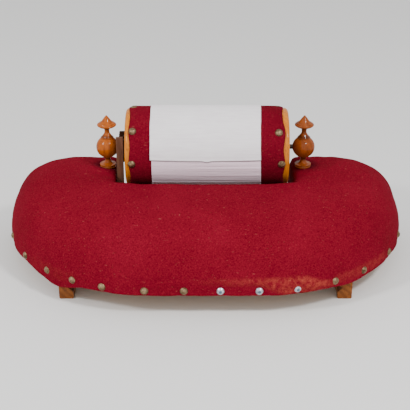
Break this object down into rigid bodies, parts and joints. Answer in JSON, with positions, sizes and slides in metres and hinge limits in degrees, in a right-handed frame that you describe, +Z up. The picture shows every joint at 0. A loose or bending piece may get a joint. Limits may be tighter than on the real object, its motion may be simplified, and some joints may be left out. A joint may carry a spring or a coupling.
{
  "type": "bobbin lace roller pillow",
  "caption": "Felt covered bobbin lace pillow on a wooden board with runners, and a ratchet-held roller turning between two turned wooden posts.",
  "frame": {"origin": "on the resting surface under the middle of the object's box", "axes": "+X to the right along the roller, +Y to the back, where the recess is open, +Z up"},
  "size_m": [0.5854, 0.2994, 0.2204],
  "materials": {
    "plain_wood": "planed, unfinished",
    "stained_wood": "stained, worn",
    "varnished_wood": "glossy amber varnish",
    "disc_wood": "satin amber varnish",
    "dark_wood": "dark stained",
    "pawl_wood": "matt, worn",
    "red_felt": "wool felt",
    "white_cotton": "plain weave cotton",
    "straw": "packed straw",
    "brass": "aged",
    "nickel": "nickel plated",
    "steel": "plain",
    "iron": "dark"
  },
  "bodies": {
    "frame": {"base_board": "plain_wood", "left_runner": "stained_wood", "right_runner": "stained_wood", "runner_screws": "steel", "left_cheek": "plain_wood", "right_cheek": "plain_wood", "front_rail": "plain_wood", "frame_screws": "steel", "stuffing": "straw", "felt_cover": "red_felt", "brass_tacks": "brass", "nickel_tacks": "nickel", "left_post": "varnished_wood", "right_post": "varnished_wood", "pawl_pin": "steel", "pawl_washer": "steel"},
    "roller": {"roller_core": "plain_wood", "roller_stuffing": "straw", "left_disc": "disc_wood", "right_disc": "disc_wood", "disc_screws": "steel", "roller_felt": "red_felt", "roller_tacks": "brass", "work_cloth": "white_cotton", "ratchet_wheel": "dark_wood", "wheel_nails": "steel", "left_axle_pin": "iron", "right_axle_pin": "iron"},
    "pawl": {"pawl": "pawl_wood"}
  },
  "joints": [
    {"name": "roller_turn", "type": "hinge", "parent": "frame", "child": "roller", "pos_m": [0, 0.0765, 0.157], "axis": [1, 0, 0], "continuous": true},
    {"name": "pawl_swing", "type": "hinge", "parent": "frame", "child": "pawl", "pos_m": [-0.1243, 0.0504, 0.084], "axis": [1, 0, 0], "range_deg": [0, 36]}
  ]
}
